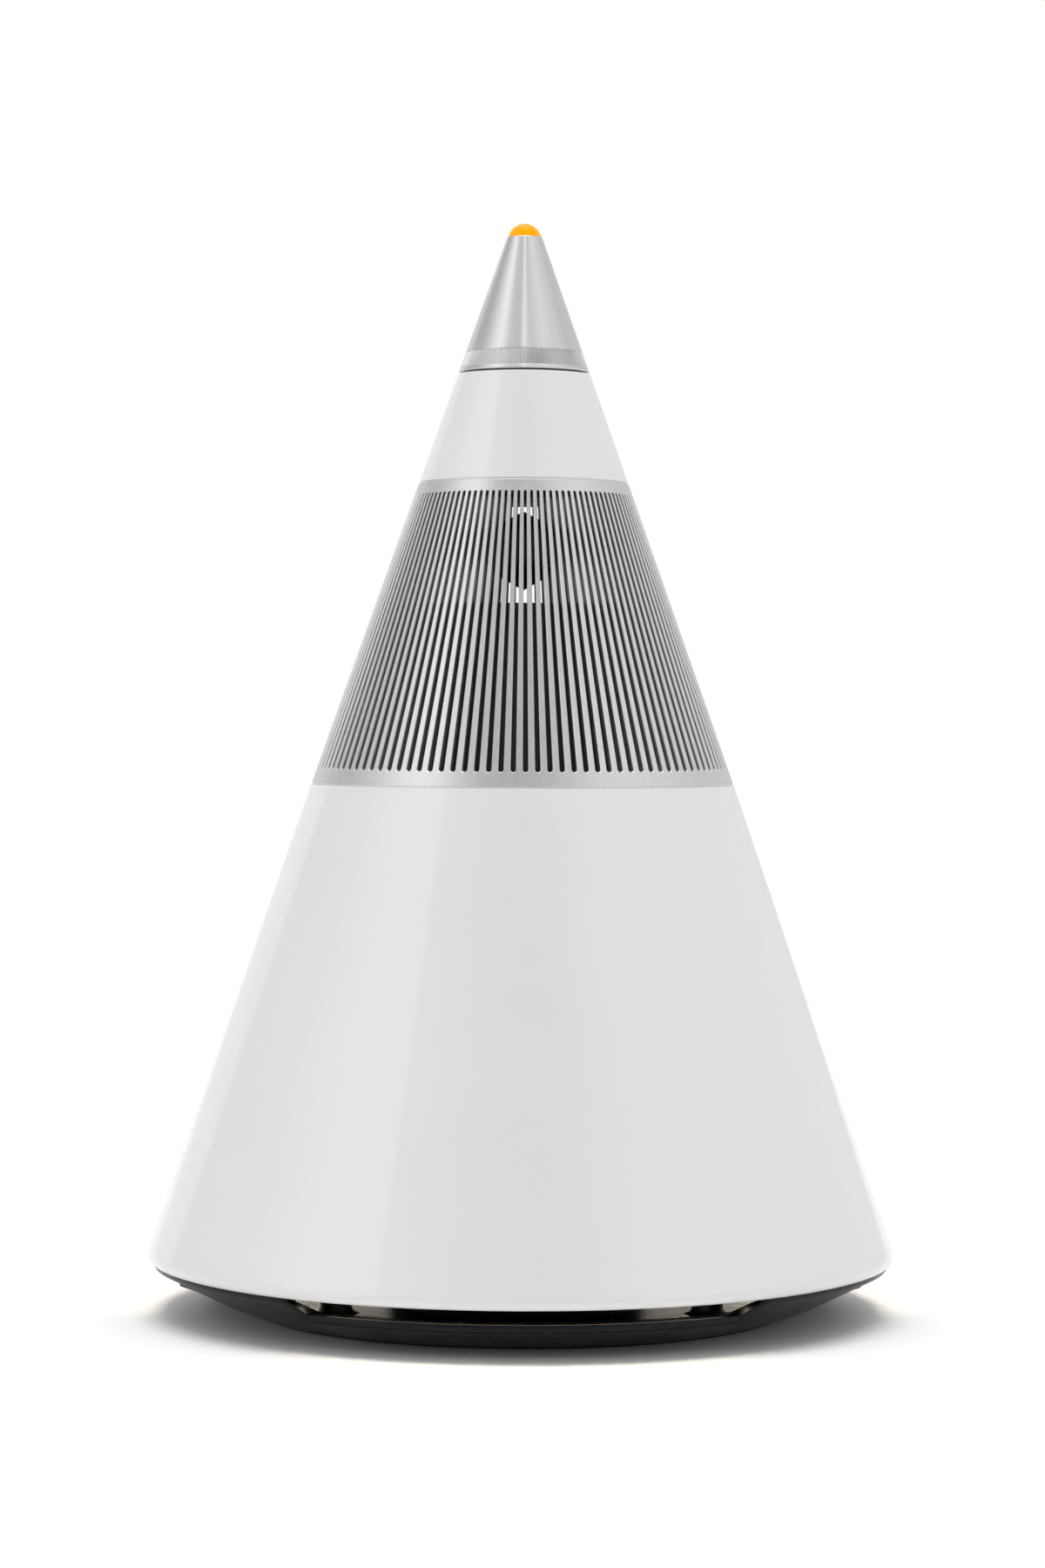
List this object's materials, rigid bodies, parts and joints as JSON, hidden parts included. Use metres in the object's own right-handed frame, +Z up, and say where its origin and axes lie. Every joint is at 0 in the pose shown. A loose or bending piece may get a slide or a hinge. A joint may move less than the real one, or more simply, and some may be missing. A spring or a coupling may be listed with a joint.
{
  "type": "cone loudspeaker",
  "caption": "Cone-shaped table loudspeaker with a white shell, a slotted metal grille over a sound deflector, a volume knob with a lit tip and a raised base that lets bass and light out.",
  "frame": {"origin": "centre of the foot ring, on the table", "axes": "+Z up along the cone's axis, front is -Y, connector panel is at +Y"},
  "size_m": [0.295, 0.295, 0.4292],
  "materials": {
    "white_shell": "white lacquer, polished to a gloss",
    "grille_aluminium": "bead-blasted and clear anodised",
    "knob_aluminium": "fine turned, satin anodised",
    "amber_lens": "polished amber acrylic, lit from below",
    "black_bowl": "moulded black ABS, fine satin outside",
    "black_inner": "moulded black ABS, matt",
    "rubber": "black silicone rubber",
    "roll_rubber": "moulded butyl rubber",
    "warm_diffuser": "opal acrylic, lit warm white",
    "board": "green solder mask",
    "steel": "zinc-plated steel",
    "black_screw": "black zinc-plated steel",
    "black_frame": "powder-coated steel",
    "cone_pulp": "coated paper pulp",
    "cone_metal": "spun aluminium, hard anodised grey",
    "dome_silk": "coated silk",
    "spider_cloth": "resin-dipped cotton",
    "copper_coil": "enamelled copper wire",
    "ferrite": "ground ferrite",
    "capacitor": "shrink sleeve",
    "bare_aluminium": "mill finish",
    "nickel": "nickel plate",
    "white_nylon": "natural acetal",
    "clear_acrylic": "clear polished acrylic"
  },
  "bodies": {
    "cabinet": {"foot_ring": "rubber", "base_bowl": "black_bowl", "support_pillars": "black_inner", "sound_spreader": "black_inner", "base_screws": "black_screw", "bottom_plate": "black_inner", "plate_screws": "black_screw", "light_diffusers": "warm_diffuser", "led_boards": "board", "lower_shell": "white_shell", "connector_panel": "black_inner", "panel_screws": "black_screw", "power_inlet": "black_inner", "inlet_pins": "nickel", "aux_socket": "nickel", "rocker_housing": "black_inner", "woofer_frame": "black_frame", "woofer_magnet": "ferrite", "woofer_yoke": "steel", "woofer_screws": "black_screw", "tie_rods": "steel", "chassis_plate": "bare_aluminium", "amplifier_board": "board", "heat_sink": "bare_aluminium", "capacitors": "capacitor", "power_supply": "bare_aluminium", "core_plate": "black_inner", "seam_rings": "grille_aluminium", "grille": "grille_aluminium", "mid_chamber": "black_inner", "mid_baffle": "black_inner", "mid_frame": "black_frame", "mid_magnet": "ferrite", "mid_yoke": "steel", "sound_deflector": "black_inner", "deflector_posts": "black_frame", "tweeter_plate": "black_inner", "tweeter_motor": "steel", "tweeter_screws": "black_screw", "top_bracket": "black_inner", "upper_shell": "white_shell", "encoder_body": "nickel", "encoder_board": "board", "bush_nut": "nickel", "press_spring": "steel", "light_pipe": "clear_acrylic"},
    "knob_stage": {"press_plunger": "white_nylon"},
    "knob": {"volume_knob": "knob_aluminium", "encoder_shaft": "bare_aluminium", "tip_lens": "amber_lens"},
    "woofer_moving": {"woofer_cone": "cone_pulp", "woofer_surround": "roll_rubber", "woofer_dust_cap": "cone_pulp", "woofer_spider": "spider_cloth", "woofer_coil": "copper_coil"},
    "mid_moving": {"mid_cone": "cone_metal", "mid_surround": "roll_rubber", "mid_coil": "copper_coil"},
    "tweeter_moving": {"tweeter_dome": "dome_silk"},
    "rocker": {"power_rocker": "black_bowl"}
  },
  "joints": [
    {"name": "knob_press", "type": "slide", "parent": "cabinet", "child": "knob_stage", "axis": [0, 0, -1], "range_m": [0, 0.0004], "stiffness_N_per_m": 4000, "springref_m": -0.001, "deforming": ["press_spring"]},
    {"name": "knob_turn", "type": "hinge", "parent": "knob_stage", "child": "knob", "pos_m": [0, 0, 0.38], "axis": [0, 0, 1], "continuous": true},
    {"name": "woofer_travel", "type": "slide", "parent": "cabinet", "child": "woofer_moving", "axis": [0, 0, 1], "range_m": [-0.004, 0.004], "stiffness_N_per_m": 1500, "deforming": ["woofer_surround", "woofer_spider"]},
    {"name": "mid_travel", "type": "slide", "parent": "cabinet", "child": "mid_moving", "axis": [0, 0, 1], "range_m": [-0.0015, 0.0015], "stiffness_N_per_m": 2500, "deforming": ["mid_surround"]},
    {"name": "tweeter_travel", "type": "slide", "parent": "cabinet", "child": "tweeter_moving", "axis": [0, 0, 1], "range_m": [-0.0003, 0.0003], "stiffness_N_per_m": 3000},
    {"name": "power_switch", "type": "hinge", "parent": "cabinet", "child": "rocker", "pos_m": [0.023, 0.117, 0.054], "axis": [1, 0, 0], "range_deg": [0, 14]}
  ]
}
